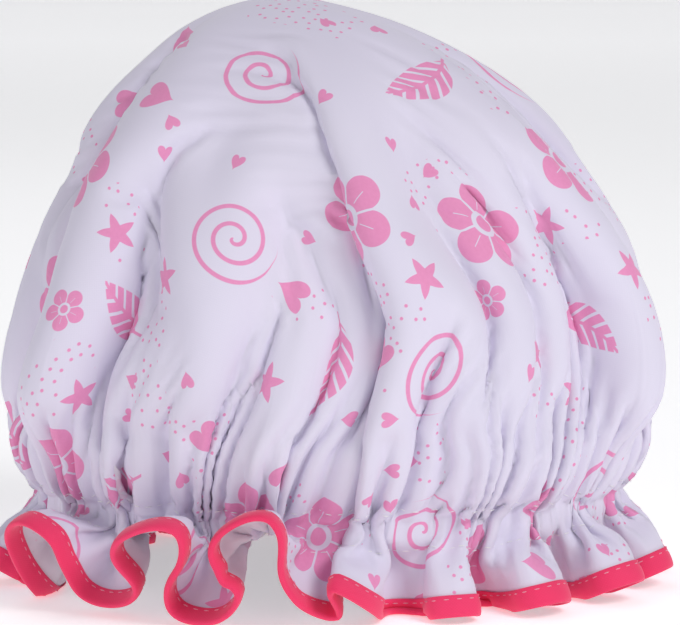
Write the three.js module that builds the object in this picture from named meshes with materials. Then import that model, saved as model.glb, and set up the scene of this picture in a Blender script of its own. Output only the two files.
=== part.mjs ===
// Child's gathered shower cap: one circle of printed fabric and one of waterproof lining, drawn in by
// an elastic that runs between them, with a loose frill below it whose edge is bound with a folded tape.
// The cap stands on its frill, opening down and front towards -Y. Millimetres and degrees, +Z up.
import * as THREE from "three";

// Opening, drawn in by the elastic
const openingWidth = 172;
const openingDepth = 136;

// Crown
const crownWidth = 188;
const crownDepth = 154;
const crownRise = 147;
const widestRise = 29;
const crownPoint = 1.2;
const crownLean = -16;

// Frill
const frillHeight = 27;
const frillFlare = 8;
const hemRise = 1.5;

// Folds that run down the crown and spread again in the frill
const foldCount = 14;
const foldSteps = 6;
const crownFold = 7;
const frillFold = 6.5;
const foldWander = 3;
const puckerDepth = 1.2;

// Deep valley down the front of the crown
const valleyAngle = 5;
const valleySpread = 10;
const valleyDepth = 17;

// Places where the frill turns up and out: angle round the cap and spread of the turn, with the hem's lift
// and its way out as shares of the frill's height
const flips = [
  { angle: -15, spread: 9, lift: 0.52, out: 0.33 },
  { angle: -41, spread: 8, lift: 0.33, out: 0.22 },
  { angle: -84, spread: 12, lift: 0.26, out: 0.11 },
];

// Cloth, elastic, tape and thread
const fabricThickness = 0.6;
const liningThickness = 0.5;
const elasticWidth = 5;
const elasticThickness = 1;
const elasticLap = 15;
const casingMargin = 4.5;
const tapeWidth = 6;
const tapeThickness = 0.5;
const stitchInset = 1.2;
const threadDiameter = 0.5;
const clearance = 0.3;

// Heights and distances that follow from these
const topHeight = frillHeight + crownRise;
const widestHeight = frillHeight + widestRise;
const casingHeight = elasticWidth + 2 * casingMargin;
const upperSeam = frillHeight + casingHeight / 2;
const lowerSeam = frillHeight - casingHeight / 2;
const stitchRise = tapeWidth - stitchInset;
const clothEnd = tapeThickness + clearance;
const columns = foldCount * foldSteps;

const fabricFaces = [clearance / 2, clearance / 2 + fabricThickness];
const liningFaces = [-clearance / 2 - liningThickness, -clearance / 2];
const tapeOutside = fabricFaces[1] + clearance;
const tapeInside = liningFaces[0] - clearance;
const threadStandoff = clearance + threadDiameter / 2;

const turn = 2 * Math.PI;
const radians = THREE.MathUtils.degToRad;
const clamp = THREE.MathUtils.clamp;
const lerp = THREE.MathUtils.lerp;

// Share u of the way round the cut circle, 0 to 1, as an angle round the cap from the front
const valleyShare = 0.5 / foldCount;

function wander(u) {
  return radians(foldWander) * (Math.sin(2 * turn * u + 1) + 0.6 * Math.sin(5 * turn * u));
}

function angleAt(u) {
  return radians(valleyAngle) + turn * (u - valleyShare) + wander(u) - wander(valleyShare);
}

function angleBetween(a, b) {
  return Math.atan2(Math.sin(a - b), Math.cos(a - b));
}

function hump(angle, centre, spread) {
  const across = clamp(angleBetween(angle, radians(centre)) / radians(2 * spread), -1, 1);
  return (1 - across * across) ** 2;
}

// Shape of the cap without folds. Level v runs 0 to 1 from the top to the widest line, to 2 at the upper
// casing seam, to 3 at the lower casing seam and to 4 at the hem.
const tuck = radians(70);

function profileAt(v) {
  if (v <= 1) {
    const slope = (v * Math.PI) / 2;
    const share = Math.sin(slope) ** crownPoint;
    const rise = Math.cos(slope);
    return {
      halfWidth: (share * crownWidth) / 2,
      halfDepth: (share * crownDepth) / 2,
      height: widestHeight + (topHeight - widestHeight) * rise,
      lean: crownLean * rise ** 5,
    };
  }
  if (v <= 2) {
    const slope = (v - 1) * tuck;
    const share = (1 - Math.cos(slope)) / (1 - Math.cos(tuck));
    return {
      halfWidth: lerp(crownWidth, openingWidth, share) / 2,
      halfDepth: lerp(crownDepth, openingDepth, share) / 2,
      height: lerp(widestHeight, upperSeam, Math.sin(slope) / Math.sin(tuck)),
      lean: 0,
    };
  }
  const flare = frillFlare * clamp(v - 3, 0, 1);
  return {
    halfWidth: openingWidth / 2 + flare,
    halfDepth: openingDepth / 2 + flare,
    height: v <= 3 ? lerp(upperSeam, lowerSeam, v - 2) : lerp(lowerSeam, 0, v - 3),
    lean: 0,
  };
}

function foldDepth(v) {
  if (v <= 1) return crownFold * v * v;
  if (v <= 2) return crownFold * Math.cos(((v - 1) * Math.PI) / 2) ** 2;
  return frillFold * clamp(v - 3, 0, 1);
}

// Point half-way between fabric and lining
function clothPoint(v, u) {
  const angle = angleAt(u);
  const wave = Math.cos(turn * foldCount * u);
  const shape = profileAt(v);
  const along = clamp(v - 3, 0, 1);
  const deep = Math.sin(Math.PI * clamp((v - 0.15) / 1.85, 0, 1));
  const dent = valleyDepth * deep * hump(angle, valleyAngle, valleySpread);
  let out = foldDepth(v) * wave - dent;
  let height = shape.height + along * hemRise * Math.max(0, wave);
  for (const flip of flips) {
    const share = frillHeight * along * hump(angle, flip.angle, flip.spread);
    out += flip.out * share;
    height += flip.lift * share;
  }
  const ahead = new THREE.Vector2(shape.halfDepth * Math.sin(angle), -shape.halfWidth * Math.cos(angle)).normalize();
  const x = shape.lean + shape.halfWidth * Math.sin(angle) + out * ahead.x;
  const y = -shape.halfDepth * Math.cos(angle) + out * ahead.y;
  return new THREE.Vector3(x, y, height);
}

function clothNormal(v, u) {
  const step = 0.02;
  const round = clothPoint(v, u + step / columns).sub(clothPoint(v, u - step / columns));
  const down = clothPoint(Math.min(v + step, 4), u).sub(clothPoint(v - step, u));
  return down.cross(round).normalize();
}

function offsetPoint(v, u, distance) {
  return clothPoint(v, u).addScaledVector(clothNormal(v, u), distance);
}

// Level at a given distance up the frill from the hem
function aboveHem(distance, u) {
  return 4 - distance / clothPoint(4, u).distanceTo(clothPoint(3, u));
}

// Closed body from a list of corners and triangles
function closedBody(points, triangles) {
  const geometry = new THREE.BufferGeometry();
  const corners = triangles.flatMap((triangle) => triangle.flatMap((index) => points[index].toArray()));
  geometry.setAttribute("position", new THREE.Float32BufferAttribute(corners, 3));
  geometry.computeVertexNormals();
  return geometry;
}

// Rows of the cut circle: few points near the middle, all the fold points from the widest line down
const rows = [
  { level: () => 0.22, count: columns / 4 },
  { level: () => 0.47, count: columns / 2 },
  { level: () => 0.73, count: columns / 2 },
  { level: () => 1, count: columns },
  { level: () => 2, count: columns },
  { level: () => 2.5, count: columns, casing: true },
  { level: () => 3, count: columns },
  { level: (u) => aboveHem(tapeWidth, u), count: columns },
  { level: (u) => aboveHem(clothEnd, u), count: columns },
];

// Puckers of the casing: every other fold point stands out
function puckerAt(u) {
  return Math.round(u * columns) % 2 ? puckerDepth : 0;
}

// One layer of cloth with its two faces at given distances from the middle, opened round the elastic
function clothLayer(faces, casingRoom, side) {
  const points = [];
  const triangles = [];

  function addFace(distance, flipped) {
    const add = (a, b, c) => triangles.push(flipped ? [a, c, b] : [a, b, c]);
    const top = points.length;
    const first = profileAt(0);
    points.push(new THREE.Vector3(first.lean, 0, first.height + distance));
    let above = null;
    for (const { level, count, casing } of rows) {
      const start = points.length;
      for (let k = 0; k < count; k += 1) {
        const u = k / count;
        const room = casing ? side * (casingRoom + puckerAt(u)) : 0;
        points.push(offsetPoint(level(u), u, distance + room));
      }
      for (let k = 0; k < count; k += 1) {
        const next = (k + 1) % count;
        if (!above) {
          add(top, start + k, start + next);
        } else if (above.count === count) {
          add(above.start + k, start + k, start + next);
          add(above.start + k, start + next, above.start + next);
        } else if (k % 2 === 0) {
          const half = k / 2;
          const halfNext = (half + 1) % above.count;
          add(above.start + half, start + k, start + next);
          add(above.start + half, start + next, above.start + halfNext);
          add(above.start + halfNext, start + next, start + ((k + 2) % count));
        }
      }
      above = { start, count };
    }
    return above.start;
  }

  const outerHem = addFace(faces[1], false);
  const innerHem = addFace(faces[0], true);
  for (let k = 0; k < columns; k += 1) {
    const next = (k + 1) % columns;
    triangles.push([outerHem + k, innerHem + k, innerHem + next]);
    triangles.push([outerHem + k, innerHem + next, outerHem + next]);
  }
  return closedBody(points, triangles);
}

// Ring swept through one section at each fold point, with its facets split the way the cloth's are
function sweptRing(sectionAt) {
  const points = [];
  const triangles = [];
  for (let k = 0; k < columns; k += 1) points.push(...sectionAt(k / columns));
  const size = points.length / columns;
  for (let k = 0; k < columns; k += 1) {
    const next = (k + 1) % columns;
    for (let i = 0; i < size; i += 1) {
      const j = (i + 1) % size;
      const [a, b, c, d] = [k * size + i, k * size + j, next * size + j, next * size + i];
      if (points[a].z >= points[b].z) triangles.push([a, b, c], [a, c, d]);
      else triangles.push([a, b, d], [b, c, d]);
    }
  }
  return closedBody(points, triangles);
}

// Distance of a layer's near face from the middle of the casing, so that it clears the elastic's edges
function roomFor(depth) {
  const edgeShare = elasticWidth / casingHeight;
  return (depth - (edgeShare * clearance) / 2) / (1 - edgeShare) - clearance / 2;
}

const stitchRoom = threadDiameter + clearance;
const fabricRoom = roomFor(elasticThickness / 2 + clearance + stitchRoom);
const liningRoom = roomFor(elasticThickness * 1.5 + clearance);

// Elastic: a flat band whose ends lap at the back of the cap
const lapTurn = elasticLap / ((openingWidth + openingDepth) / 4);

function elasticSection(u) {
  const lapped = Math.abs(angleBetween(angleAt(u), Math.PI)) <= lapTurn / 2;
  const inner = -elasticThickness * (lapped ? 1.5 : 0.5);
  const outer = elasticThickness / 2;
  const half = elasticWidth / 2;
  const corner = (distance, up) => offsetPoint(2.5, u, distance).setZ(frillHeight + up);
  return [corner(outer, half), corner(outer, -half), corner(inner, -half), corner(inner, half)];
}

// Zigzag of thread that joins the lapped ends
function zigzag() {
  const turns = 6;
  const reach = elasticWidth / 2 - threadDiameter * 2;
  const path = [];
  for (let i = 0; i <= turns; i += 1) {
    const angle = Math.PI + lapTurn * 0.7 * (i / turns - 0.5);
    const out = elasticThickness / 2 + threadStandoff;
    const x = (openingWidth / 2 + out) * Math.sin(angle);
    const y = -(openingDepth / 2 + out) * Math.cos(angle);
    path.push(new THREE.Vector3(x, y, frillHeight + (i % 2 ? reach : -reach)));
  }
  const section = new THREE.Shape();
  const radius = threadDiameter / 2;
  section.moveTo(radius, 0).lineTo(0, radius).lineTo(-radius, 0).lineTo(0, -radius).closePath();
  const curve = new THREE.CatmullRomCurve3(path, false, "catmullrom", 0.3);
  return new THREE.ExtrudeGeometry(section, { steps: turns * 4, bevelEnabled: false, extrudePath: curve });
}

// Seam thread along one level of the cloth, through the points that a function of u gives
function seamThread(level, centreAt) {
  const radius = threadDiameter / 2;
  return sweptRing((u) => {
    const v = level(u);
    const centre = centreAt(u);
    const across = clothNormal(v, u);
    const round = clothPoint(v, u + 0.01 / columns).sub(clothPoint(v, u - 0.01 / columns)).normalize();
    const down = round.cross(across);
    return [0, 1, 2, 3].map((i) => {
      const spin = (i * Math.PI) / 2;
      return centre
        .clone()
        .addScaledVector(across, radius * Math.cos(spin))
        .addScaledVector(down, radius * Math.sin(spin));
    });
  });
}

function flatThread(level, distance) {
  return seamThread(level, (u) => offsetPoint(level(u), u, distance));
}

// Outside the cap the casing seams lie in a crease, between the casing and the cloth beyond it
function creaseThread(level, beyond) {
  const face = fabricFaces[1];
  return seamThread(level, (u) => {
    const corner = offsetPoint(level(u), u, face);
    const casing = offsetPoint(2.5, u, face + fabricRoom + puckerAt(u)).sub(corner);
    const cloth = offsetPoint(beyond(u), u, face).sub(corner);
    const out = casing.clone().normalize().add(cloth.clone().normalize());
    out.addScaledVector(clothNormal(level(u), u), 0.5).normalize();
    const opening = Math.min(Math.sin(out.angleTo(casing)), Math.sin(out.angleTo(cloth)));
    return corner.addScaledVector(out, (threadStandoff + puckerDepth / 4) / opening);
  });
}

// Tape folded round the hem. Where the hem is down the fold is level, so the cap rests on flat lengths of it.
function tapeSection(u) {
  const foot = clothPoint(4, u);
  const across = clothNormal(4, u);
  const up = clothPoint(3, u).sub(foot).normalize();
  if (foot.z === 0) {
    across.setZ(0).normalize();
    up.set(0, 0, 1);
  }
  const low = (distance, lift) => {
    const corner = foot.clone().addScaledVector(across, distance).addScaledVector(up, lift);
    return corner.setZ(Math.max(corner.z, lift));
  };
  const high = (distance) => offsetPoint(aboveHem(tapeWidth, u), u, distance);
  const sewn = (distance) => offsetPoint(aboveHem(stitchRise, u), u, distance);
  return [
    high(tapeOutside + tapeThickness),
    sewn(tapeOutside + tapeThickness),
    low(tapeOutside + tapeThickness, 0),
    low(tapeInside - tapeThickness, 0),
    sewn(tapeInside - tapeThickness),
    high(tapeInside - tapeThickness),
    high(tapeInside),
    low(tapeInside, tapeThickness),
    low(tapeOutside, tapeThickness),
    high(tapeOutside),
  ];
}

const seamInside = liningFaces[0] - threadStandoff;
const hemOutside = tapeOutside + tapeThickness + threadStandoff;
const hemInside = tapeInside - tapeThickness - threadStandoff;

const widestLevel = () => 1;
const upperLevel = () => 2;
const lowerLevel = () => 3;
const stitchLevel = (u) => aboveHem(stitchRise, u);
const tapeLevel = (u) => aboveHem(tapeWidth, u);

function material(color, roughness) {
  return new THREE.MeshStandardMaterial({ color, roughness, metalness: 0 });
}

const cap = new THREE.Group();

function addPiece(name, geometry, look) {
  const mesh = new THREE.Mesh(geometry, look);
  mesh.name = name;
  cap.add(mesh);
}

addPiece("printed_shell", clothLayer(fabricFaces, fabricRoom, 1), material(0xdcdaea, 0.75));
addPiece("waterproof_lining", clothLayer(liningFaces, liningRoom, -1), material(0xe8e6ee, 0.5));
addPiece("elastic_band", sweptRing(elasticSection), material(0xf2f1ee, 0.85));
addPiece("elastic_join_stitch", zigzag(), material(0xf6f4f6, 0.8));
addPiece("hem_tape", sweptRing(tapeSection), material(0xe8315f, 0.8));
addPiece("upper_casing_needle_thread", creaseThread(upperLevel, widestLevel), material(0xf4f2f8, 0.8));
addPiece("upper_casing_bobbin_thread", flatThread(upperLevel, seamInside), material(0xf4f2f8, 0.8));
addPiece("lower_casing_needle_thread", creaseThread(lowerLevel, tapeLevel), material(0xf4f2f8, 0.8));
addPiece("lower_casing_bobbin_thread", flatThread(lowerLevel, seamInside), material(0xf4f2f8, 0.8));
addPiece("hem_needle_thread", flatThread(stitchLevel, hemOutside), material(0xff8fb0, 0.8));
addPiece("hem_bobbin_thread", flatThread(stitchLevel, hemInside), material(0xff8fb0, 0.8));

// The frame's origin is the middle of the base
const box = new THREE.Box3().setFromObject(cap);
cap.position.set(-(box.min.x + box.max.x) / 2, -(box.min.y + box.max.y) / 2, -box.min.z);

const part = new THREE.Group();
part.add(cap);
export default part;
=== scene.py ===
import math
from functools import partialmethod

import bpy
import numpy as np
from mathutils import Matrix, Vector


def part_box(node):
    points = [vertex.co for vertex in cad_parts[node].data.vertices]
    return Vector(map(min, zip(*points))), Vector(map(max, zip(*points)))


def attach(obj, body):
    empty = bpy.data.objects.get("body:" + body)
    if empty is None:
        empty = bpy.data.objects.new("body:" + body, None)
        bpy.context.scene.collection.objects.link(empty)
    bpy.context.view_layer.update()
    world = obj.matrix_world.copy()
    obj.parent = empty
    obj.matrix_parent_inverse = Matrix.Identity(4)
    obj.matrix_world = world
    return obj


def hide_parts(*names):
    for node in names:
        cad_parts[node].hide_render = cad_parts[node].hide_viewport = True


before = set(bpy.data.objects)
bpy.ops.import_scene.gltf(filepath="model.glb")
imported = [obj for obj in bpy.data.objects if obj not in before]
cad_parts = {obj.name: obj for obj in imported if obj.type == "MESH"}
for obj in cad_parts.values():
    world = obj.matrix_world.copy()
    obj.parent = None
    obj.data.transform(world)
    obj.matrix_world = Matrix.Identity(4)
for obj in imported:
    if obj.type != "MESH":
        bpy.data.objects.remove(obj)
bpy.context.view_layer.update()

tau = 2 * math.pi
scene = bpy.context.scene

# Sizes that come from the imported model
elasticLow, elasticHigh = (np.array(corner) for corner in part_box("elastic_band"))
shellTop = float(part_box("printed_shell")[1][2])
capMiddle = (elasticLow + elasticHigh) / 2  # middle of the drawn-in oval, at the casing line
print("frame loaded, casing line at", round(float(capMiddle[2]) * 1000, 1), "mm")


def addObject(name, data):
    made = bpy.data.objects.new(name, data)
    scene.collection.objects.link(made)
    return made


def turnTo(thing, target):
    thing.rotation_euler = (target - thing.location).to_track_quat("-Z", "Y").to_euler()


# Camera, at the photograph's angle: straight on and a little above
camera = {"lens": 200.0, "nearest": 0.01, "distance": 1.147, "elevation": 8.0, "aimRight": 0.0034,
          "aimUp": 0.0795}


def addCamera():
    lens = bpy.data.cameras.new("viewpoint")
    lens.lens = camera["lens"]
    lens.clip_start = camera["nearest"]
    eye = addObject("viewpoint", lens)
    tilt = math.radians(camera["elevation"])
    aim = Vector((capMiddle[0] + camera["aimRight"], capMiddle[1], camera["aimUp"]))
    eye.location = aim + camera["distance"] * Vector((0, -math.cos(tilt), math.sin(tilt)))
    turnTo(eye, aim)
    scene.camera = eye


addCamera()


class Wire:
    # a value in a node tree, which takes part in sums as a number does; | gives the larger of two
    def __init__(self, socket):
        self.socket = socket
        self.tree = socket.id_data

    def run(self, operation, *others):
        return calc(self.tree, operation, self, *others)

    def __rsub__(self, other):
        return calc(self.tree, "SUBTRACT", other, self)

    def __rtruediv__(self, other):
        return calc(self.tree, "DIVIDE", other, self)

    fit = partialmethod(run, "MULTIPLY_ADD")  # times the first number, plus the second
    __add__ = partialmethod(run, "ADD")
    __sub__ = partialmethod(run, "SUBTRACT")
    __mul__ = partialmethod(run, "MULTIPLY")
    __truediv__ = partialmethod(run, "DIVIDE")
    __pow__ = partialmethod(run, "POWER")
    __abs__ = partialmethod(run, "ABSOLUTE")
    __gt__ = partialmethod(run, "GREATER_THAN")
    __lt__ = partialmethod(run, "LESS_THAN")
    __or__ = partialmethod(run, "MAXIMUM")


def feed(socket, value):
    # links a value of the tree, or sets a plain one
    if isinstance(value, Wire):
        socket.id_data.links.new(value.socket, socket)
    else:
        socket.default_value = value


def addNode(tree, kind, inputs=None, **settings):
    made = tree.nodes.new(kind)
    for name, value in settings.items():
        setattr(made, name, value)
    for key, value in (inputs or {}).items():
        feed(made.inputs[key], value)
    return made


def calc(tree, operation, *values, clamp=False):
    made = addNode(tree, "ShaderNodeMath", dict(enumerate(values)), operation=operation, use_clamp=clamp)
    return Wire(made.outputs[0])


def newMaterial(name):
    finish = bpy.data.materials.new(name)
    finish.use_nodes = True
    return finish


def setShader(finish, inputs):
    shader = finish.node_tree.nodes["Principled BSDF"]
    for name, value in inputs.items():
        feed(shader.inputs[name], value)


# Studio: a pale sweep of floor and soft light
studio = {
    "floorSize": 8.0, "sweepStart": 2.4, "sweepRadius": 0.8, "sweepHeight": 3.0, "sweepPoints": 13,
    "floor": (0.92, 0.92, 0.93, 1), "floorRoughness": 0.9, "glowColour": (1, 1, 1, 1), "glow": 0.4,
    "sky": (0.95, 0.95, 1.0, 1), "world": 0.26, "lampAim": (0, 0, 0.08),
}
lamps = [
    {"name": "keyLamp", "at": (0.75, -0.7, 0.9), "size": 0.55, "power": 8.0},
    {"name": "fillLamp", "at": (-0.95, -0.85, 0.35), "size": 0.9, "power": 3.8},
    {"name": "rimLamp", "at": (-0.3, 0.9, 0.9), "size": 0.6, "power": 1.2},
]


def addFloor():
    half, radius = studio["floorSize"] / 2, studio["sweepRadius"]
    arc = [(studio["sweepStart"] + radius * math.sin(turn), radius * (1 - math.cos(turn)))
           for turn in np.linspace(0, math.pi / 2, studio["sweepPoints"])]
    line = [(-half, 0.0), *arc, (arc[-1][0], studio["sweepHeight"])]
    points = [(x, y, z) for y, z in line for x in (-half, half)]
    faces = [(2 * i, 2 * i + 1, 2 * i + 3, 2 * i + 2) for i in range(len(line) - 1)]
    mesh = bpy.data.meshes.new("floorSweep")
    mesh.from_pydata(points, [], faces)
    mesh.shade_smooth()
    finish = newMaterial("paleFloor")
    setShader(finish, {
        "Base Color": studio["floor"],
        "Roughness": studio["floorRoughness"],
        "Emission Color": studio["glowColour"],
        "Emission Strength": studio["glow"],
    })
    mesh.materials.append(finish)
    addObject("floorSweep", mesh)


def addLight():
    for lamp in lamps:
        light = bpy.data.lights.new(lamp["name"], "AREA")
        light.size = lamp["size"]
        light.energy = lamp["power"]
        made = addObject(lamp["name"], light)
        made.location = lamp["at"]
        turnTo(made, Vector(studio["lampAim"]))
    sky = bpy.data.worlds.new("softSky")
    scene.world = sky
    sky.use_nodes = True
    background = sky.node_tree.nodes["Background"]
    background.inputs["Color"].default_value = studio["sky"]
    background.inputs["Strength"].default_value = studio["world"]
    scene.view_settings.view_transform = "Standard"


addFloor()
addLight()
print("studio ready")

# Cloth circle: a dome drawn in at the casing, with a loose frill below it
bandThickness = 0.001  # of the elastic: the opening's oval runs through its middle
crown = {
    "width": 0.193, "depth": 0.157, "widestRise": 0.029, "point": 1.22, "lean": -0.014, "leanFade": 5,
    "slack": 1.02, "tuck": 70, "topRoom": 0.001,
}
opening = {
    "width": float(elasticHigh[0] - elasticLow[0]) - bandThickness,
    "depth": float(elasticHigh[1] - elasticLow[1]) - bandThickness,
    "height": float(capMiddle[2]),
    "top": shellTop - crown["topRoom"],
}
openingHalf = np.array([opening["width"], opening["depth"]]) / 2
openingSum = opening["width"] + opening["depth"]
cloth = {
    "ringStep": 0.0024, "relaxSteps": 150, "edgePasses": 3, "overshoot": 1.6, "pushBack": 0.7,
    "pressure": 0.00003, "weight": 0.00001, "layerGap": 0.0026, "layerEvery": 3, "lowest": 0.0012,
    "crownSoftness": 0.06, "edgeSoftness": 0.02, "crownMemory": 0.004, "frillMemory": 0.03,
    "mostKept": 0.999, "slowestAlong": 5, "slowestAcross": 6, "probe": 0.0012, "probeFrom": 0.004,
}

# Where the cloth changes on its way down, as shares of the way from the top to the casing
changes = {
    "lateFolds": (0.30, 0.60), "swayGone": (0.5, 0.85), "rollsGone": (0.70, 0.92), "gathers": (0.78, 0.985),
    "edge": (0.80, 0.93), "puffGone": (0.90, 0.98), "frill": (1, 1.10), "fineMesh": (0.62, 0.86),
}

# Folds down the crown. angle: degrees round from the front at the widest line; start: share of the way from
# the top to the casing at which the fold begins; lean: which side laps over; sway: degrees at mid height
foldValues = ("angle", "start", "depth", "lean", "sway")
folds = [dict(zip(foldValues, fold)) for fold in [
    (-113, 0.26, 1.0, 0.2, 0), (-92, 0.50, 0.9, 0.2, 0), (-72, 0.30, 0.9, 0.3, 0),
    (-46, 0.54, 1.0, 0.6, 0), (-28, 0.36, 0.9, -0.6, 0), (-13, 0.52, 0.9, 0.6, 0),
    (4, 0.04, 1.15, 1.0, 0), (20, 0.50, 0.9, 0.6, -9), (33, 0.52, 0.8, -0.5, -4),
    (49, 0.60, 0.9, 0.5, 0), (72, 0.30, 1.0, 0.2, 0), (92, 0.50, 0.9, 0.2, 0),
    (112, 0.26, 1.0, -0.3, 0), (147, 0.26, 1.0, 0.3, 0), (164, 0.50, 0.9, -0.3, 0),
    (181, 0.26, 0.9, 0.3, 0), (197, 0.50, 1.0, -0.4, 0), (213, 0.26, 1.0, 0.3, 0),
]]
earlyFold = np.array([fold["start"] < 0.4 for fold in folds])

# A fold's cloth on each side, its turn inwards in radians, how it grows and what it loses lower down
foldShape = {"fabric": 0.0085, "swing": 1.5, "lap": 0.3, "growth": 0.34, "growthPower": 0.7,
             "lossAtGathers": 0.7, "lossInFrill": 0.9}
foldLine = 0.80  # share of the way down at which each fold is at its own angle

# Rolls between the folds: their strength, and how much less it is within so many degrees of the front
rolls = {"strength": 1.25, "frontLoss": 0.95, "frontSpread": 75}

# Gathers at the casing: shift and swing hold a seed, a size and the harmonics of their unevenness
gathers = {"count": 92, "shift": (5, 0.0035, (6, 8, 9, 11, 14)), "swing": (142, 0.25, (5, 8, 13, 21)),
           "inFrill": 0.1}

# How far the folds drift round the cap on their way down, in degrees by share of the way to the casing
drift = [(0, 0), (0.28, 3), (0.49, 3), (0.66, 9), (0.82, 4), (1.0, 0), (1.2, 0)]

# Frill: the waves that stand out, by angle round the cap, and how strongly each one swings
frillWaves = [
    (-114, 1), (-102, 0.9), (-90, 0.8), (-77, 0.7), (-53, 0.75), (-32.5, 1.15), (-8, 1.2), (8, 0.9),
    (21, 0.9), (38, 1), (58, 1), (75, 0.9), (90, 0.9), (105, 1), (121, 1), (138, 1), (155, 1), (172, 1),
    (189, 1), (205, 1), (220, 1), (235, 1),
]

# How far the frill turns out from hanging straight, in degrees by angle round the cap
frillTurns = [
    (-180, 8), (-130, 8), (-105, 6), (-84, 9), (-71, 36), (-56, 62), (-31, 62), (-20, 74), (-8, 84),
    (3, 40), (10, 12), (38, 16), (62, 25), (80, 22), (100, 8), (120, 8), (180, 8),
]

around = np.arange(4032) / 4032  # shares of the way round, fine enough to integrate the folds


def smooth(a, b, x):
    t = np.clip((x - a) / (b - a), 0, 1)
    return t * t * (3 - 2 * t)


def changeAt(name, s):
    # 0 above a change and 1 below it
    first, last = changes[name]
    return smooth(first * casingAt, last * casingAt, s)


def runningSum(values):
    return np.concatenate([[0], np.cumsum(values)])


def nearest(share):
    # shares of a turn as a way of at most half a turn to either side
    return (share + 0.5) % 1 - 0.5


def lengthOf(vectors):
    return np.linalg.norm(vectors, axis=1)


def unit(vectors, least=0.0):
    return vectors / (lengthOf(vectors)[:, None] + least)


def wobble(seed, size, harmonics):
    draw = np.random.default_rng(seed)
    out = np.zeros(len(around))
    for h in harmonics:
        out += draw.normal() * np.sin(tau * h * around + draw.uniform(0, tau))
    return out * size / out.std()


def profileAt(v):
    # mean shape without folds: v is 0 at the top, 1 at the widest line, 2 at the casing and 3 at the hem
    v = np.asarray(v, float)
    slope = np.clip(v, 0, 1) * math.pi / 2
    share, rise = np.sin(slope) ** crown["point"], np.cos(slope)
    widest = opening["height"] + crown["widestRise"]
    tuckTurn = math.radians(crown["tuck"])
    low = np.clip(v - 1, 0, 1) * tuckTurn
    tuck = (1 - np.cos(low)) / (1 - math.cos(tuckTurn))
    drop = np.sin(low) / math.sin(tuckTurn)
    halfWidth = share * (crown["width"] + (opening["width"] - crown["width"]) * tuck) / 2
    halfDepth = share * (crown["depth"] + (opening["depth"] - crown["depth"]) * tuck) / 2
    below = widest - crown["widestRise"] * drop - opening["height"] * np.clip(v - 2, 0, 1)
    height = np.where(v <= 1, widest + (opening["top"] - widest) * rise, below)
    return halfWidth, halfDepth, height, crown["lean"] * rise ** crown["leanFade"]


profileSteps = np.linspace(0, 3, 901)
profileWidths, profileDepths, profileHeights, _ = profileAt(profileSteps)
profileRadii = (profileWidths + profileDepths) / 2
profileRuns = np.hypot(np.diff(profileRadii), np.diff(profileHeights))
profileLengths = runningSum(profileRuns) * crown["slack"]
casingAt = float(np.interp(2, profileSteps, profileLengths))  # distances from the middle of the cut circle
hemAt = float(profileLengths[-1])


def ovalAt(s):
    v = np.interp(s, profileLengths, profileSteps)
    halfWidth, halfDepth, height, lean = (float(value) for value in profileAt(v))
    return halfWidth, halfDepth, height, lean, tau * math.sqrt((halfWidth ** 2 + halfDepth ** 2) / 2)


def periodic(places, values, more):
    # values given at some shares of the way round, read at all of them, with so much rise over a whole turn
    shares = np.concatenate([np.array(places) + whole for whole in (-1, 0, 1)])
    values = np.array(values, float)
    return np.interp(around, shares, np.concatenate([values - more, values, values + more]))


def phaseThrough(places):
    # a phase that goes on by one turn from each place to the next
    return tau * periodic(places, np.arange(len(places)), len(places))


gatherPhase = tau * gathers["count"] * (around + wobble(*gathers["shift"]))
gatherSwing = 1 + wobble(*gathers["swing"])
waveAngles, waveSwings = zip(*frillWaves)
wavePlaces = np.array(waveAngles) / 360
frillPhase = phaseThrough(wavePlaces)
frillSwing = periodic(wavePlaces, waveSwings, 0)
frontNear = np.exp(-(nearest(around) * 360 / rolls["frontSpread"]) ** 2)
quietFront = rolls["strength"] - rolls["frontLoss"] * frontNear


def foldTurn(places, s):
    total = np.zeros(len(around))
    for fold, place in zip(folds, places):
        start = fold["start"] * casingAt
        grown = smooth(start, start + foldShape["growth"] * casingAt, s)
        size = fold["depth"] * grown ** foldShape["growthPower"]
        place = place + fold["sway"] / 360 * (1 - changeAt("swayGone", s))
        t = nearest(around - place) * tau * s / foldShape["fabric"]
        total += size * (foldShape["lap"] * fold["lean"] * np.exp(-t * t / 4) - t * np.exp(0.5 - t * t / 2))
    return foldShape["swing"] * total


def most(test):
    # the largest number, by halving, for which the test still holds
    low, high = 0.0, 5.0
    for _ in range(40):
        middle = (low + high) / 2
        low, high = (middle, high) if test(middle) else (low, middle)
    return low


def highPass(path, least):
    parts = np.fft.rfft(path)
    return np.fft.irfft(parts * smooth(least - 3, least + 1, np.arange(len(parts))), len(path))


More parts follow.
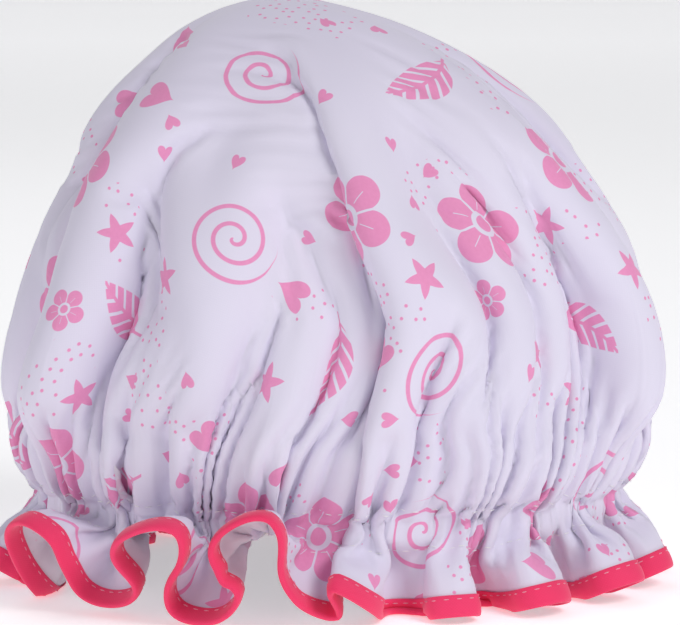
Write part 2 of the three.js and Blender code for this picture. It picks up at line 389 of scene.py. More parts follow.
def ringPath(places, s, girth):
    # cloth's path round one ring: the folds, and then enough waves or gathers to use up its length
    keep = min(girth / (tau * s), cloth["mostKept"])
    inFrill = changeAt("frill", s)
    near = changeAt("gathers", s) * (1 - inFrill)
    low = changeAt("lateFolds", s)
    fixed = foldTurn(places, s) * (1 - foldShape["lossAtGathers"] * near)
    fixed = fixed * (1 - foldShape["lossInFrill"] * inFrill)
    early, late = (np.sin(phaseThrough(some)) for some in (places[earlyFold], places))
    rolling = (1 - low) * early + low * late
    wave = (1 - changeAt("rollsGone", s)) * quietFront * rolling
    wave = wave + near * gatherSwing * np.sin(gatherPhase)
    wave = wave + inFrill * (gathers["inFrill"] * np.sin(gatherPhase) - frillSwing * np.sin(frillPhase))
    if np.cos(fixed).mean() < keep:
        turn = min(1.0, most(lambda k: np.cos(k * fixed).mean() > keep)) * fixed
    else:
        turn = fixed + most(lambda k: np.cos(fixed + k * wave).mean() > keep) * wave
    ahead, across = np.cos(turn), np.sin(turn)
    across = across - across.mean()
    x = runningSum(ahead)[:-1] / ahead.sum()
    y = runningSum(across)[:-1] / len(around) * tau * s
    return around + highPass(x - around, cloth["slowestAlong"]), highPass(y, cloth["slowestAcross"])


def readRing(values, shares, more):
    return np.interp(shares, np.append(around, 1), np.append(values, values[0] + more))


def placeFolds():
    # shares of the cloth at which each fold comes out at its own angle, low on the crown
    s = foldLine * casingAt
    girth = ovalAt(s)[4]
    wanted = np.array([fold["angle"] for fold in folds]) / 360
    places = wanted.copy()
    for _ in range(40):
        got = readRing(ringPath(places, s, girth)[0], places % 1, 1)
        places = places + 0.5 * nearest(wanted - got)
    return places


def frillTurn(angle):
    degrees = np.degrees(np.arctan2(np.sin(angle), np.cos(angle)))
    return np.radians(np.interp(degrees, *zip(*frillTurns)))


def gatheredRing(s, shares):
    # points of one ring of the cut circle, folded and gathered
    x, y = ringPath(foldPlaces, s, ovalAt(s)[4])
    y = y - (0.55 * np.percentile(y, 97) + 0.45 * np.percentile(y, 3))  # folds go in a little more than out
    out = readRing(y, shares, 0)
    angle = tau * readRing(x, shares, 1) + np.radians(np.interp(s / casingAt, *zip(*drift)))
    halfWidth, halfDepth, height, lean, _ = ovalAt(min(s, casingAt))
    height = np.full(len(shares), height)
    if s > casingAt:
        down, share = s - casingAt, (s - casingAt) / (hemAt - casingAt)
        bend = frillTurn(angle) * smooth(0, 0.4, share)
        wave = out * smooth(0, 0.6, share)
        out = out - wave + wave * np.cos(bend) + down * np.sin(bend)
        height = height - down * np.cos(bend) + wave * np.sin(bend)
    side = unit(np.stack([halfDepth * np.sin(angle), -halfWidth * np.cos(angle)], 1))
    flat = np.stack([lean + halfWidth * np.sin(angle), -halfDepth * np.cos(angle)], 1) + out[:, None] * side
    return np.column_stack([flat, height])


def discFaces(counts):
    # triangles of a disc made of rings with these numbers of points, the first of them one point
    starts = runningSum(counts)
    faces = [(0, 1 + j, 1 + (j + 1) % counts[1]) for j in range(counts[1])]
    for k in range(2, len(counts)):
        a, b, inner, outer = counts[k - 1], counts[k], int(starts[k - 1]), int(starts[k])
        i = j = 0
        while i < a or j < b:
            if j < b and (i >= a or (j + 1) * a <= (i + 1) * b):
                faces.append((inner + i % a, outer + j, outer + (j + 1) % b))
                j += 1
            else:
                faces.append((inner + i, outer + j % b, inner + (i + 1) % a))
                i += 1
    return np.array(faces)


def cutCircle(s, count):
    turn = tau * np.arange(count) / count
    return np.column_stack([s * np.sin(turn), -s * np.cos(turn), np.zeros(count)])


def closePairs(points, flat, reach):
    # pairs of points that lie near each other, but not in the cut circle; space is divided into cells
    across = 1000  # cells along each axis
    cell = np.floor(points / reach).astype(np.int64) + across // 2
    key = (cell[:, 0] * across + cell[:, 1]) * across + cell[:, 2]
    order = np.argsort(key, kind="stable")
    ranked = key[order]
    firsts, seconds = [], []
    for step in np.ndindex(3, 3, 3):
        near = key + ((step[0] - 1) * across + step[1] - 1) * across + step[2] - 1
        low, high = np.searchsorted(ranked, near, "left"), np.searchsorted(ranked, near, "right")
        for j in range(int((high - low).max())):
            i = np.nonzero(low + j < high)[0]
            other = order[low[i] + j]
            firsts.append(i[other > i])
            seconds.append(other[other > i])
    a, b = np.concatenate(firsts), np.concatenate(seconds)
    keep = (lengthOf(points[a] - points[b]) < reach) & (lengthOf(flat[a] - flat[b]) > 3 * reach)
    return a[keep], b[keep]


def relaxCloth(start, flat, faces, distances, pinned):
    # cloth simulation: edges go back to their cut lengths under a little air pressure and weight, and
    # layers that come near are pushed apart
    edges = np.sort(np.concatenate([faces[:, [0, 1]], faces[:, [1, 2]], faces[:, [2, 0]]]), axis=1)
    a, b = np.unique(edges, axis=0).T
    cutLength = lengthOf(flat[a] - flat[b])
    count = len(start)
    valence = (np.bincount(a, minlength=count) + np.bincount(b, minlength=count))[:, None]
    free = np.where(pinned, 0.0, 1.0)[:, None]
    puffed = free * (1 - changeAt("puffGone", distances))[:, None]
    low = changeAt("edge", distances)[:, None]
    softness = free * (cloth["crownSoftness"] + (cloth["edgeSoftness"] - cloth["crownSoftness"]) * low)
    memory = free * (cloth["crownMemory"] + (cloth["frillMemory"] - cloth["crownMemory"]) * low)
    points = start.copy()

    def addUp(index, moves):
        return np.stack([np.bincount(index, moves[:, axis], minlength=count) for axis in range(3)], 1)

    for step in range(1, cloth["relaxSteps"] + 1):
        corners = points[faces]
        facing = np.cross(corners[:, 1] - corners[:, 0], corners[:, 2] - corners[:, 0])
        normal = unit(sum(addUp(faces[:, q], facing) for q in range(3)), 1e-12)
        points = points + cloth["pressure"] * puffed * normal - free * [0, 0, cloth["weight"]]
        for _ in range(cloth["edgePasses"]):
            span = points[b] - points[a]
            length = lengthOf(span)
            over = (length - cutLength) / length
            move = (0.5 * np.where(over < 0, cloth["pushBack"] * over, over))[:, None] * span
            points = points + cloth["overshoot"] * free * (addUp(a, move) - addUp(b, move)) / valence
        mean = (addUp(a, points[b]) + addUp(b, points[a])) / valence
        points = points + softness * (mean - points) + memory * (start - points)
        if step % cloth["layerEvery"] == 0:
            i, j = closePairs(points, flat, cloth["layerGap"])
            span = points[j] - points[i]
            length = lengthOf(span)[:, None] + 1e-9
            move = 0.5 * (cloth["layerGap"] - length) * span / length
            hits = np.maximum(np.bincount(np.concatenate([i, j]), minlength=count), 1)[:, None]
            points = points + free * (addUp(j, move) - addUp(i, move)) / hits
        points[:, 2] = np.maximum(points[:, 2], cloth["lowest"])
    stretch = lengthOf(points[b] - points[a]) / cutLength
    print("cloth relaxed, stretch of the middle 80 %:", np.percentile(stretch, [10, 50, 90]).round(3))
    return points


foldPlaces = placeFolds()
ringTotal = round(hemAt / cloth["ringStep"])
ringGap = hemAt / ringTotal
ringCounts = [1] + [6 * k for k in range(1, ringTotal + 1)]
ringStarts = runningSum(ringCounts)


def makeCloth():
    _, _, height, lean, _ = ovalAt(0)
    rings = [np.array([[lean, 0.0, height]])]
    rings += [gatheredRing(ringGap * k, np.arange(6 * k) / (6 * k)) for k in range(1, ringTotal + 1)]
    start = np.concatenate(rings)
    flat = np.concatenate([cutCircle(ringGap * k, count) for k, count in enumerate(ringCounts)])
    level = np.repeat(np.arange(ringTotal + 1), ringCounts)
    pinned = level == round(casingAt / ringGap)
    settled = relaxCloth(start, flat, discFaces(ringCounts), level * ringGap, pinned)
    settled[:, :2] += capMiddle[:2]
    return [settled[ringStarts[k]:ringStarts[k + 1]] for k in range(ringTotal + 1)]


clothRings = makeCloth()
print("cloth circle", round(hemAt * 2000), "mm across, casing", round(casingAt * 1000), "mm from the middle")


def throughPoints(a, b, c, d, f):
    return b + 0.5 * f * (c - a + f * (2 * a - 5 * b + 4 * c - d + f * (3 * (b - c) + d - a)))


def ringAt(k, shares):
    if k < 0:
        return ringAt(-k, shares + 0.5)
    points = clothRings[k]
    count = len(points)
    t = (np.asarray(shares) % 1) * count
    i = np.floor(t).astype(int)
    return throughPoints(*(points[(i + step) % count] for step in (-1, 0, 1, 2)), (t - i)[:, None])


def clothAt(s, shares):
    # the settled cloth as a smooth surface, by distance from the circle's middle and share of the way round
    k = min(int(s / ringGap), ringTotal - 1)
    before, first, second = (ringAt(k + step, shares) for step in (-1, 0, 1))
    after = ringAt(k + 2, shares) if k + 2 <= ringTotal else 2 * second - first
    return throughPoints(before, first, second, after, s / ringGap - k)


def clothFrame(s, shares):
    # point, way down, way round and outward normal
    shares = np.asarray(shares)
    probe = cloth["probe"]
    step = probe / (tau * max(s, cloth["probeFrom"]))
    down = unit(clothAt(min(s + probe, hemAt), shares) - clothAt(max(s - probe, 0), shares))
    along = unit(clothAt(s, shares + step) - clothAt(s, shares - step))
    return clothAt(s, shares), down, along, unit(np.cross(down, along), 1e-12)


def addPiece(name, points, faces, finish, uv=None):
    mesh = bpy.data.meshes.new(name)
    mesh.from_pydata(np.asarray(points).tolist(), [], [tuple(int(i) for i in face) for face in faces])
    if uv is not None:
        corner = np.empty(len(mesh.loops), int)
        mesh.loops.foreach_get("vertex_index", corner)
        layer = mesh.uv_layers.new(name="cut")
        layer.data.foreach_set("uv", np.asarray(uv)[corner].ravel())
    mesh.shade_smooth()
    mesh.materials.append(finish)
    return addObject(name, mesh)


def declare(piece, node):
    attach(piece, "root")
    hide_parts(node)


# Shared effects: the print, the weave, slow shade changes and creases
def newGroup(name, inputs, outputs, kind="Shader"):
    group = bpy.data.node_groups.new(name, kind + "NodeTree")
    for way, sockets in (("INPUT", inputs), ("OUTPUT", outputs)):
        for socket, holds in sockets.items():
            group.interface.new_socket(socket, in_out=way, socket_type="NodeSocket" + holds)
    start = group.nodes.new("NodeGroupInput").outputs
    end = group.nodes.new("NodeGroupOutput").inputs
    return group, {socket: Wire(start[socket]) for socket in inputs}, end


def parted(vector):
    made = addNode(vector.tree, "ShaderNodeSeparateXYZ", {0: vector})
    return Wire(made.outputs["X"]), Wire(made.outputs["Y"])


def noise(vector, scale, detail):
    made = addNode(vector.tree, "ShaderNodeTexNoise", {"Vector": vector, "Scale": scale, "Detail": detail})
    return Wire(made.outputs[0])


def polar(x, y):
    return (x * x + y * y).run("SQRT"), y.run("ARCTAN2", x)


def inside(edge, value, softness):
    # 1 where value is under edge, with a soft step
    return calc(value.tree, "MULTIPLY_ADD", edge - value, 1 / softness, 0.5, clamp=True)


def outside(edge, value, softness):
    return 1.0 - inside(edge, value, softness)


def between(low, high, value):
    return (value > low) * (value < high)


# Motifs of the print, each drawn within about 1 of its middle
def blossom(x, y, soft):
    # five round petals with a vein each, parted by clear lines, round a clear ring and a solid eye
    reach, angle = polar(x, y)
    petal = abs((angle * 2.5).run("COSINE"))
    petals = inside((petal ** 0.5).fit(0.52, 0.46), reach, soft)
    ring = outside(0.055, abs(reach - 0.24), soft)
    parting = outside(0.06, petal * reach, soft)
    eye = inside(0.2, reach, soft)
    fromVein = (1.0001 - petal * petal).run("SQRT") * reach
    vein = inside(0.022, fromVein, soft) * between(0.36, 0.66, reach)
    return petals * ring * (parting | eye) * (1.0 - vein)


def sprig(x, y, soft):
    # bent stem with pairs of slanting leaves
    side = abs((x * x).fit(0.3, y - 0.15))
    gap = abs((side.fit(-0.9, x) * (math.pi * 3.4)).run("SINE"))
    spread = (x * x).fit(-0.42, 0.42)
    leaves = inside(spread, side, soft) * outside(0.42, gap, 4 * soft)
    stem = inside(0.035, side, soft) * between(-1.15, 0.97, x)
    return leaves | stem


def curl(x, y, soft):
    # line that winds out from the middle
    reach, angle = polar(x, y)
    line = abs(angle.fit(-1 / tau, reach * 2.6).run("FRACT") - 0.5)
    return inside(0.12, line, 3 * soft) * inside(0.92, reach, soft)


def heart(x, y, soft):
    wide = x * 1.15
    rise = y.fit(1.3, 0.25) - abs(wide).run("SQRT")
    return inside(0.85, wide * wide + rise * rise, 2 * soft)


def star(x, y, soft):
    reach, angle = polar(x, y)
    point = abs((angle * (5 / tau)).run("FRACT").fit(2.0, -1.0))
    return inside((point ** 1.6).fit(0.58, 0.42), reach, soft)


def dot(x, y, soft):
    return inside(1.0, polar(x, y)[0], soft)


# Layers of the print. motifs: the random value up to which each is drawn; past the last, a cell stays bare
largePrint = {"size": 0.0145, "cell": 0.050, "jitter": 0.26, "seed": 3.0,
              "motifs": [(0.42, blossom), (0.74, sprig), (0.92, curl)]}
mediumPrint = {"size": 0.0062, "cell": 0.027, "jitter": 0.42, "seed": 5.0,
               "motifs": [(0.30, heart), (0.48, star), (0.66, blossom)]}
smallPrint = {"size": 0.0028, "cell": 0.0135, "jitter": 0.5, "seed": 9.0, "motifs": [(0.28, heart)]}
dotPrint = {"size": 0.0005, "cell": 0.0034, "jitter": 0.6, "seed": 2.0, "motifs": [(0.75, dot)]}
inkEdge = 0.00022  # how far the ink's edge spreads
motifRoom = 1.1    # clear space round a motif, as a share of its size
dotSpray = {"scale": 30.0, "least": 0.60}  # patches in which dots are printed


def scatter(layer, x, y):
    # one motif in each cell of a staggered grid: the point seen from it, turned at random, its middle and a
    # random value
    cell, seed, jitter = layer["cell"], layer["seed"], layer["jitter"]
    px, py = x.fit(1 / cell, seed * 7.31), y.fit(1 / cell, seed * 3.77)
    row = py.run("FLOOR")
    px = px + row.run("FLOORED_MODULO", 2.0) * 0.5
    column = px.run("FLOOR")
    spot = Wire(addNode(x.tree, "ShaderNodeCombineXYZ", {0: column, 1: row, 2: seed * 1.9}).outputs[0])
    thrown = addNode(x.tree, "ShaderNodeTexWhiteNoise", {"Vector": spot}, noise_dimensions="3D").outputs
    colour = addNode(x.tree, "ShaderNodeSeparateColor", {0: Wire(thrown["Color"])})
    dice = [Wire(output) for output in colour.outputs]
    fx = px - column - dice[0].fit(jitter, 0.5 - jitter / 2)
    fy = py - row - dice[1].fit(jitter, 0.5 - jitter / 2)
    angle = dice[2] * tau
    cosine, sine = angle.run("COSINE"), angle.run("SINE")
    scale = cell / layer["size"]
    place = (fx * cosine + fy * sine) * scale, (fy * cosine - fx * sine) * scale
    return place, (fx.fit(-cell, x), fy.fit(-cell, y)), Wire(thrown["Value"])


def drawn(layer, x, y):
    # ink of one layer, and the middle of the motif whose cell this is
    place, middle, choice = scatter(layer, x, y)
    low, shapes = -1.0, []
    for high, motif in layer["motifs"]:
        shapes.append(between(low, high, choice) * motif(*place, inkEdge / layer["size"]))
        low = high
    ink = shapes[0]
    for shape in shapes[1:]:
        ink = ink | shape
    return ink, middle


def clearOf(layer, middle, size):
    # 1 where a motif of this size and middle keeps clear of a layer's motifs, or the layer's cell is bare
    place, motif, choice = scatter(layer, *middle)
    far = polar(*place)[0] > motifRoom + size / layer["size"]
    return far | (choice > layer["motifs"][-1][0]), motif


def clearOfAll(middle, size):
    # a medium motif that gives way to a large one leaves its cell bare
    offLarge, _ = clearOf(largePrint, middle, size)
    offMedium, motif = clearOf(mediumPrint, middle, size)
    mediumKept, _ = clearOf(largePrint, motif, mediumPrint["size"])
    return offLarge * (offMedium | (1.0 - mediumKept))


def makePrint():
    group, start, end = newGroup("scatteredPrint", {"Cut": "Vector"}, {"Ink": "Float"})
    x, y = parted(start["Cut"])
    large, _ = drawn(largePrint, x, y)
    medium, middle = drawn(mediumPrint, x, y)
    medium = medium * clearOf(largePrint, middle, mediumPrint["size"])[0]
    small, middle = drawn(smallPrint, x, y)
    small = small * clearOfAll(middle, smallPrint["size"])
    dots, middle = drawn(dotPrint, x, y)
    spray = noise(start["Cut"], dotSpray["scale"], 0.0) > dotSpray["least"]
    dots = dots * spray * clearOfAll(middle, dotPrint["size"])
    feed(end["Ink"], (large | medium) | (small | dots))
    return group


yarn = {"scale": 900.0, "detail": 2.0}
shade = {"scale": 18.0, "detail": 3.0}


def makeWeave():
    # plain weave: threads over and under at right angles, with uneven yarn and slow shade
    outputs = {"Height": "Float", "Yarn": "Float", "Shade": "Float"}
    group, start, end = newGroup("plainWeave", {"Cut": "Vector", "Pitch": "Float"}, outputs)
    x, y = parted(start["Cut"])
    turns = math.pi / start["Pitch"]
    over = (x * turns).run("SINE") * (y * turns).run("SINE")
    feed(end["Height"], over.fit(0.5, 0.5))
    feed(end["Yarn"], noise(start["Cut"], **yarn))
    feed(end["Shade"], noise(start["Cut"], **shade))
    return group


creases = {
    "count": 176.0, "jitter": 7.0, "shortest": 0.007, "longest": 0.034, "sharpness": 1.5,
    "jitterScale": 9.0, "lengthScale": 45.0, "depth": 0.0006, "strength": 0.8,
}


def makeCreases():
    # fine creases that run out from the casing, some short and some long
    group, start, end = newGroup("gatherCreases", {"Cut": "Vector"}, {"Height": "Float"})
    reach, angle = polar(*parted(start["Cut"]))
    heading = addNode(group, "ShaderNodeVectorMath", {0: start["Cut"]}, operation="NORMALIZE")
    heading = Wire(heading.outputs[0])
    uneven = noise(heading, creases["jitterScale"], 2.0)
    random = noise(heading, creases["lengthScale"], 0.0)
    ridge = uneven.fit(creases["jitter"], angle * creases["count"]).run("SINE").fit(0.5, 0.5)
    spread = creases["longest"] - creases["shortest"]
    span = (random ** 2.0).fit(2 * spread, creases["shortest"])
    fade = inside(1.0, abs(reach - casingAt) / span, 2.0)
    feed(end["Height"], ridge ** creases["sharpness"] * fade ** creases["sharpness"])
    return group


printGroup = makePrint()
weaveGroup = makeWeave()
creaseGroup = makeCreases()


def useGroup(group, cut, **values):
    made = addNode(cut.tree, "ShaderNodeGroup", {"Cut": cut, **values}, node_tree=group)
    return {output.name: Wire(output) for output in made.outputs}


def mixColour(share, first, second):
    made = addNode(share.tree, "ShaderNodeMix", {0: share, 6: first, 7: second}, data_type="RGBA")
    return Wire(made.outputs[2])


def bumpFrom(height, strength, distance, **under):
    inputs = {"Height": height, "Strength": strength, "Distance": distance, **under}
    return Wire(addNode(height.tree, "ShaderNodeBump", inputs).outputs["Normal"])


def clothRelief(cut, weave, strength):
    # weave on top of the creases that the elastic draws in
    height = useGroup(creaseGroup, cut)["Height"]
    drawnIn = bumpFrom(height, creases["strength"], creases["depth"])
    return bumpFrom(weave["Shade"].fit(6.0, weave["Height"]), strength, 0.00004, Normal=drawnIn)


def wovenFinish(name, pitch):
    finish = newMaterial(name)
    cut = Wire(addNode(finish.node_tree, "ShaderNodeUVMap", uv_map="cut").outputs[0])
    return finish, cut, useGroup(weaveGroup, cut, Pitch=pitch)


printedCloth = {
    "ground": (0.79, 0.75, 0.87, 1), "groundShade": (0.73, 0.69, 0.84, 1),
    "ink": (0.88, 0.24, 0.51, 1), "inkShade": (0.80, 0.27, 0.50, 1),
    "inkCover": 0.82, "coverSpread": 0.16, "pitch": 0.00045, "relief": 0.25,
}


def makePrintedCloth():
    finish, cut, weave = wovenFinish("printedCloth", printedCloth["pitch"])
    ground = mixColour(weave["Shade"], printedCloth["ground"], printedCloth["groundShade"])
    pink = mixColour(weave["Yarn"], printedCloth["ink"], printedCloth["inkShade"])
    cover = weave["Yarn"].fit(printedCloth["coverSpread"], printedCloth["inkCover"])
    setShader(finish, {
        "Base Color": mixColour(useGroup(printGroup, cut)["Ink"] * cover, ground, pink),
        "Roughness": weave["Yarn"].fit(0.16, 0.6),
        "Sheen Weight": 0.15,
        "Sheen Roughness": 0.4,
        "Specular IOR Level": 0.3,
        "Normal": clothRelief(cut, weave, printedCloth["relief"]),
    })
    return finish


liningCloth = {
    "ground": (0.80, 0.76, 0.83, 1), "groundShade": (0.73, 0.69, 0.78, 1), "ink": (0.80, 0.38, 0.56, 1),
    "showThrough": 0.3, "pitch": 0.00045, "relief": 0.2,
}


def makeLiningCloth():
    finish, cut, weave = wovenFinish("coatedLining", liningCloth["pitch"])
    ground = mixColour(weave["Shade"], liningCloth["ground"], liningCloth["groundShade"])
    cover = useGroup(printGroup, cut)["Ink"] * liningCloth["showThrough"]
    setShader(finish, {
        "Base Color": mixColour(cover, ground, liningCloth["ink"]),
        "Roughness": weave["Shade"].fit(0.2, 0.3),
        "Normal": clothRelief(cut, weave, liningCloth["relief"]),
    })
    return finish


bindingTape = {"colour": (0.86, 0.022, 0.105, 1), "light": (0.97, 0.06, 0.19, 1), "pitch": 0.00042}


def makeBindingTape():
    finish, _, weave = wovenFinish("pinkBinding", bindingTape["pitch"])
    # painted shade: lighter pink on the weave's raised crossings and darker in its hollows, mixed with slow
    # random tone
    weaveShadeAndTone = weave["Height"].fit(0.2, weave["Shade"] * 0.8)
    setShader(finish, {
        "Base Color": mixColour(weaveShadeAndTone, bindingTape["colour"], bindingTape["light"]),
        "Roughness": weave["Yarn"].fit(0.2, 0.62),
        "Sheen Weight": 0.2,
        "Specular IOR Level": 0.3,
        "Normal": bumpFrom(weave["Yarn"].fit(0.8, weave["Height"]), 0.35, 0.00008),
    })
    return finish


knittedElastic = {"colour": (0.72, 0.71, 0.69, 1), "light": (0.88, 0.87, 0.85, 1), "pitch": 0.0009}


def makeElastic():
    finish, _, weave = wovenFinish("knittedElastic", knittedElastic["pitch"])
    setShader(finish, {
        # painted shade: darker in the hollows between the knit's threads and lighter on their raised
        # crossings
        "Base Color": mixColour(weave["Height"], knittedElastic["colour"], knittedElastic["light"]),
        "Roughness": weave["Yarn"].fit(0.2, 0.7),
        "Normal": bumpFrom(weave["Height"], 0.6, 0.0003),
    })
    return finish


def makeThread(name, colour, light):
    # two plies wound round each other, read from the thread's own place; painted shade darkens the grooves
    # between the plies, and their crowns are lighter
    finish = newMaterial(name)
    place = Wire(addNode(finish.node_tree, "ShaderNodeTexCoord").outputs["Object"])
    waves = {"Vector": place, "Scale": 700.0, "Distortion": 1.5, "Detail": 1.0}
    ply = Wire(addNode(finish.node_tree, "ShaderNodeTexWave", waves).outputs["Fac"])
    setShader(finish, {
        "Base Color": mixColour(ply, colour, light),
        "Roughness": ply.fit(0.2, 0.5),
        "Sheen Weight": 0.2,
        "Normal": bumpFrom(ply, 0.4, 0.00008),
    })
    return finish


finishes = {
    "printedCloth": makePrintedCloth(),
    "coatedLining": makeLiningCloth(),
    "pinkBinding": makeBindingTape(),
    "knittedElastic": makeElastic(),
    "whiteThread": makeThread("whiteThread", (0.78, 0.77, 0.80, 1), (0.92, 0.91, 0.93, 1)),
    "pinkThread": makeThread("pinkThread", (0.82, 0.24, 0.36, 1), (0.92, 0.44, 0.54, 1)),
}
print("materials ready")

# Two sheets of cloth, one on each side of the settled surface, parted round the elastic
sheets = {
    "thickness": 0.00025, "gap": 0.0002, "finePitch": 0.00168, "broadPitch": 0.0024, "rowShare": 0.87,
    "casingRoom": 0.0012, "casingHalf": 0.0035, "casingFade": 0.006, "casingRound": 0.0006,
    "edgeBack": 0.0006,
}
clothFace = sheets["gap"] / 2 + sheets["thickness"]  # outer face of each sheet, from the settled surface


def sheetRings():
    # ring distances and point counts: broad on the crown, fine towards the gathers and the frill
    distances, counts, s = [0.0], [1], 0.0
    last = hemAt - sheets["edgeBack"]
    while s < last - 1e-9:
        fine = float(changeAt("fineMesh", s))
        pitch = sheets["broadPitch"] + (sheets["finePitch"] - sheets["broadPitch"]) * fine
        s = min(s + sheets["rowShare"] * pitch, last) if last - s > 1.3 * pitch else last
        distances.append(s)
        counts.append(max(6, round(tau * s / pitch)))
    return distances, counts


def casingPush(points, s, side):
    # lifts the cloth off the elastic, outwards for the shell and inwards for the lining
    share = 1 - smooth(sheets["casingHalf"], sheets["casingHalf"] + sheets["casingFade"], abs(s - casingAt))
    if share <= 0:
        return points
    flat = points[:, :2] - capMiddle[:2]
    level = lengthOf(flat / openingHalf)
    facing = unit(flat / openingHalf ** 2)
    off = (level - 1) / level * lengthOf(flat) * side
    room = sheets["casingRoom"]
    wanted = room + 0.5 * (off - room + np.sqrt((off - room) ** 2 + sheets["casingRound"] ** 2))
    moved = points.copy()
    moved[:, :2] += (side * share * (wanted - off))[:, None] * facing
    return moved


def makeSheet(name, side, finish):
    distances, counts = sheetRings()
    faces = discFaces(counts)
    layers = []
    for offset in (clothFace, sheets["gap"] / 2):
        points = []
        for s, count in zip(distances, counts):
            centre, _, _, normal = clothFrame(s, np.arange(count) / count)
            normal = np.tile([0.0, 0.0, 1.0], (count, 1)) if s == 0 else normal
            points.append(casingPush(centre, s, side) + side * offset * normal)
        layers.append(np.concatenate(points))
    flat = np.concatenate([cutCircle(s, count)[:, :2] for s, count in zip(distances, counts)])
    total, edge = len(flat), len(flat) - counts[-1]
    rim = [(edge + k, edge + (k + 1) % counts[-1]) for k in range(counts[-1])]
    outer, inner = (faces, faces[:, ::-1]) if side > 0 else (faces[:, ::-1], faces)
    rimFaces = [(a, a + total, b + total, b) if side > 0 else (b, b + total, a + total, a) for a, b in rim]
    allFaces = [*outer.tolist(), *(inner + total).tolist(), *rimFaces]
    return addPiece(name, np.concatenate(layers), allFaces, finish, np.concatenate([flat, flat]))


shellPiece = makeSheet("printedShell", 1, finishes["printedCloth"])
liningPiece = makeSheet("plainLining", -1, finishes["coatedLining"])
declare(shellPiece, "printed_shell")
declare(liningPiece, "waterproof_lining")
print("sheets made,", len(shellPiece.data.polygons), "faces each")

# Elastic: a flat band round the oval, lapped at the back
elastic = {"height": float(elasticHigh[2] - elasticLow[2]), "lap": 0.015, "corner": 0.0002, "columns": 300}


def ovalPoint(angle, out, height):
    facing = unit(np.stack([openingHalf[1] * np.sin(angle), -openingHalf[0] * np.cos(angle)], 1))
    flat = np.stack([openingHalf[0] * np.sin(angle), -openingHalf[1] * np.cos(angle)], 1)
    flat = flat + np.asarray(out)[..., None] * facing
    return np.column_stack([flat + capMiddle[:2], np.full(len(angle), height)])


def tubeFaces(columns, size, wrap):
    faces = []
    for k in range(columns if wrap else columns - 1):
        following = (k + 1) % columns
        for i in range(size):
            j = (i + 1) % size
            faces.append((k * size + i, k * size + j, following * size + j, following * size + i))
    if not wrap:
        faces += [tuple(range(size))[::-1], tuple((columns - 1) * size + i for i in range(size))]
    return faces


def tubeCut(lengths, across):
    # places on the flat cloth of a tube's points, by length along it and way round its section
    return np.stack(np.broadcast_arrays(lengths[:, None], across[None]), 2).reshape(-1, 2)


def makeElasticBand():
    count = elastic["columns"]
    angle = tau * np.arange(count) / count
    lapHalf = elastic["lap"] / openingSum * 2
    lapped = np.abs(angle - math.pi) <= lapHalf
    half, corner = elastic["height"] / 2, elastic["corner"]
    inner = np.where(lapped, -1.5 * bandThickness, -0.5 * bandThickness)
    outer = np.full(count, 0.5 * bandThickness)
    rows = [(outer, half - corner), (outer, corner - half), (outer - corner, -half),
            (inner + corner, -half), (inner, corner - half), (inner, half - corner),
            (inner + corner, half), (outer - corner, half)]
    ring = np.stack([ovalPoint(angle, out, capMiddle[2] + up) for out, up in rows], 1)
    length = np.cumsum(np.full(count, math.pi * openingSum / 2 / count))
    uv = tubeCut(length, np.array([out[0] + up for out, up in rows]))
    faces = tubeFaces(count, len(rows), True)
    return addPiece("elasticBand", ring.reshape(-1, 3), faces, finishes["knittedElastic"], uv)


elasticPiece = makeElasticBand()
declare(elasticPiece, "elastic_band")

# Zigzag of thread through the lap
joinStitch = {"turns": 6, "thread": 0.0005, "reach": 0.0015, "spread": 0.7, "steps": 10, "sides": 8}


def makeJoinStitch():
    turns, thread, sides = joinStitch["turns"], joinStitch["thread"], joinStitch["sides"]
    lapTurn = elastic["lap"] / (openingSum / 4)
    t = np.linspace(0, turns, turns * joinStitch["steps"] + 1)
    angle = math.pi + lapTurn * joinStitch["spread"] * (t / turns - 0.5)
    path = ovalPoint(angle, np.full(len(t), bandThickness / 2 + thread * 0.5), 0.0)
    path[:, 2] = capMiddle[2] - joinStitch["reach"] * np.cos(math.pi * t)
    ahead = unit(np.gradient(path, axis=0))
    side = unit(np.cross(ahead, np.tile([0.0, 1.0, 0.0], (len(t), 1))))
    spin = tau * np.arange(sides) / sides
    cosine, sine = np.cos(spin)[None, :, None], np.sin(spin)[None, :, None]
    ring = cosine * side[:, None] + sine * np.cross(side, ahead)[:, None]
    points = (path[:, None] + 0.5 * thread * ring).reshape(-1, 3)
    return addPiece("elasticJoin", points, tubeFaces(len(t), sides, False), finishes["whiteThread"])


joinPiece = makeJoinStitch()
declare(joinPiece, "elastic_join_stitch")

# Hem tape, folded round the edge of both sheets
tape = {
    "width": 0.006, "thickness": 0.0005, "room": 0.00015, "columns": 1300, "corner": 0.0002,
    "swell": 0.00012, "nose": 0.00045, "stitchInset": 0.0012, "pucker": 0.00012, "stitchPitch": 0.0033,
}
stitchLine = tape["width"] - tape["stitchInset"]  # distance of the hem seam from the edge
hemStitches = round(tau * (hemAt - stitchLine) / tape["stitchPitch"])


def tapeSection():
    # section as distance up from the hem and out from the middle, outside first; then the outer face
    width, corner = tape["width"], tape["corner"]
    under = clothFace + tape["room"]
    over = under + tape["thickness"]
    half = [(width - corner, under), (width, 0.5 * (under + over)), (width - corner, over),
            (stitchLine, over), (0.62 * width, over + 0.0001), (0.36 * width, over + tape["swell"]),
            (0.12 * width, over), (-corner, 0.72 * over), (-tape["nose"], 0.3 * over)]
    inner = [(0.8 * width, under), (0.4 * width, under), (0.1 * width, 0.9 * under)]
    otherHalf = [(up, -out) for up, out in [*reversed(half), *inner]]
    return [*half, *otherHalf, *reversed(inner)], over


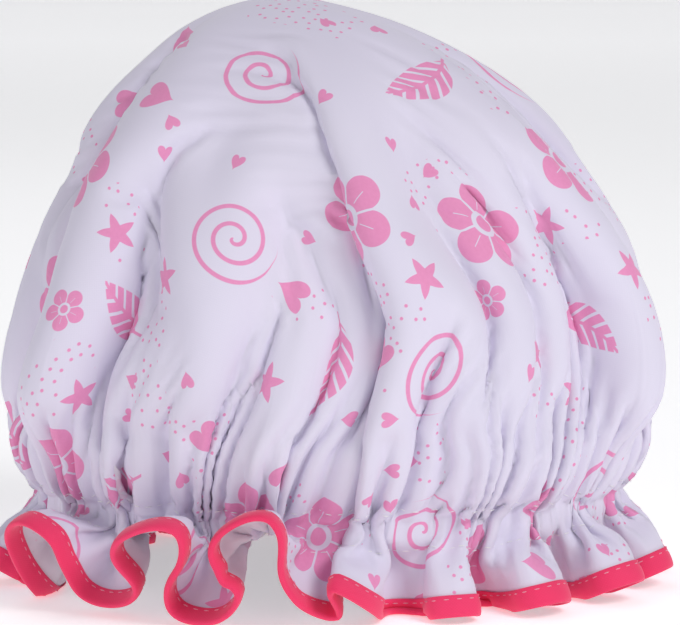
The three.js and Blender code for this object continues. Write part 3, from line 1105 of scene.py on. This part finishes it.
def makeHemTape():
    section, face = tapeSection()
    shares = np.arange(tape["columns"]) / tape["columns"]
    stitched = 0.5 + 0.5 * np.cos(tau * hemStitches * shares)
    rows = []
    for distance, out in section:
        centre, down, _, normal = clothFrame(hemAt - max(distance, 0), shares)
        out = np.full(len(shares), out)
        if distance == stitchLine:
            out = out - np.sign(out) * tape["pucker"] * (1 + stitched)
        rows.append(centre + max(-distance, 0) * down + out[:, None] * normal)
    ring = np.stack(rows, 1)
    run = runningSum([math.dist(a, b) for a, b in zip(section, section[1:])])
    faces = tubeFaces(len(shares), len(section), True)
    uv = tubeCut(shares * tau * hemAt, run)
    return addPiece("hemTape", ring.reshape(-1, 3), faces, finishes["pinkBinding"], uv), face


tapePiece, tapeFace = makeHemTape()
declare(tapePiece, "hem_tape")
print("elastic and hem tape made")

# Rows of stitches, laid by Geometry Nodes on one point for each stitch
seams = {
    "pitch": 0.0033, "casingSeam": 0.007, "hemLift": 0.00005,
    "casing": {"Stitch Length": 0.0022, "Thread Width": 0.0003},
    "hem": {"Stitch Length": 0.0017, "Thread Width": 0.00034},
}


def makeStitchTree():
    points = {"Geometry": "Geometry"}
    sizes = {"Stitch Length": "Float", "Thread Width": "Float", "Finish": "Material"}
    tree, start, end = newGroup("stitchRow", {**points, **sizes}, points, "Geometry")

    def add(kind, inputs, **settings):
        return Wire(addNode(tree, kind, inputs, **settings).outputs[0])

    bead = add("GeometryNodeMeshUVSphere", {"Segments": 6, "Rings": 6, "Radius": 0.5})
    thread = start["Thread Width"]
    size = add("ShaderNodeCombineXYZ", {"X": start["Stitch Length"], "Y": thread, "Z": thread})
    stitch = add("GeometryNodeTransform", {"Geometry": bead, "Scale": size})
    along = add("GeometryNodeInputNamedAttribute", {"Name": "along"}, data_type="FLOAT_VECTOR")
    outward = add("GeometryNodeInputNamedAttribute", {"Name": "outward"}, data_type="FLOAT_VECTOR")
    lay = add("FunctionNodeAlignRotationToVector", {"Vector": along}, axis="X")
    turned = {"Rotation": lay, "Vector": outward}
    face = add("FunctionNodeAlignRotationToVector", turned, axis="Z", pivot_axis="X")
    laid = {"Points": start["Geometry"], "Instance": stitch, "Rotation": face}
    row = add("GeometryNodeInstanceOnPoints", laid)
    real = add("GeometryNodeRealizeInstances", {"Geometry": row})
    rounded = add("GeometryNodeSetShadeSmooth", {"Geometry": real})
    done = add("GeometryNodeSetMaterial", {"Geometry": rounded, "Material": start["Finish"]})
    feed(end["Geometry"], done)
    return tree


stitchTree = makeStitchTree()


def socketOf(tree, name):
    items = tree.interface.items_tree
    return next(item.identifier for item in items if item.name == name and item.in_out == "INPUT")


def stitchRow(name, s, side, lift, count, values):
    shares = (np.arange(count) + 0.5) / count
    centre, _, along, normal = clothFrame(s, shares)
    centre = casingPush(centre, s, side) + side * lift * normal
    mesh = bpy.data.meshes.new(name)
    mesh.from_pydata(centre.tolist(), [], [])
    for label, vectors in (("along", along), ("outward", side * normal)):
        mesh.attributes.new(label, "FLOAT_VECTOR", "POINT").data.foreach_set("vector", vectors.ravel())
    piece = addObject(name, mesh)
    nodes = piece.modifiers.new("stitches", "NODES")
    nodes.node_group = stitchTree
    for label, value in values.items():
        nodes[socketOf(stitchTree, label)] = value
    laid = bpy.data.meshes.new_from_object(piece.evaluated_get(bpy.context.evaluated_depsgraph_get()))
    piece.modifiers.clear()
    piece.data = laid
    return piece


seamLines = {
    "upper_casing": casingAt - seams["casingSeam"],
    "lower_casing": casingAt + seams["casingSeam"],
    "hem": hemAt - stitchLine,
}
for seam, s in seamLines.items():
    onTape = seam == "hem"
    lift = tapeFace - tape["pucker"] + seams["hemLift"] if onTape else clothFace
    count = hemStitches if onTape else round(tau * s / seams["pitch"])
    finish = finishes["pinkThread" if onTape else "whiteThread"]
    values = {**seams["hem" if onTape else "casing"], "Finish": finish}
    for thread, side in (("needle", 1), ("bobbin", -1)):
        first, *others = f"{seam}_{thread}".split("_")
        name = first + "".join(word.title() for word in others)
        piece = stitchRow(name, s, side, lift, count, values)
        declare(piece, f"{seam}_{thread}_thread")
print("seams sewn,", hemStitches, "stitches round the hem")
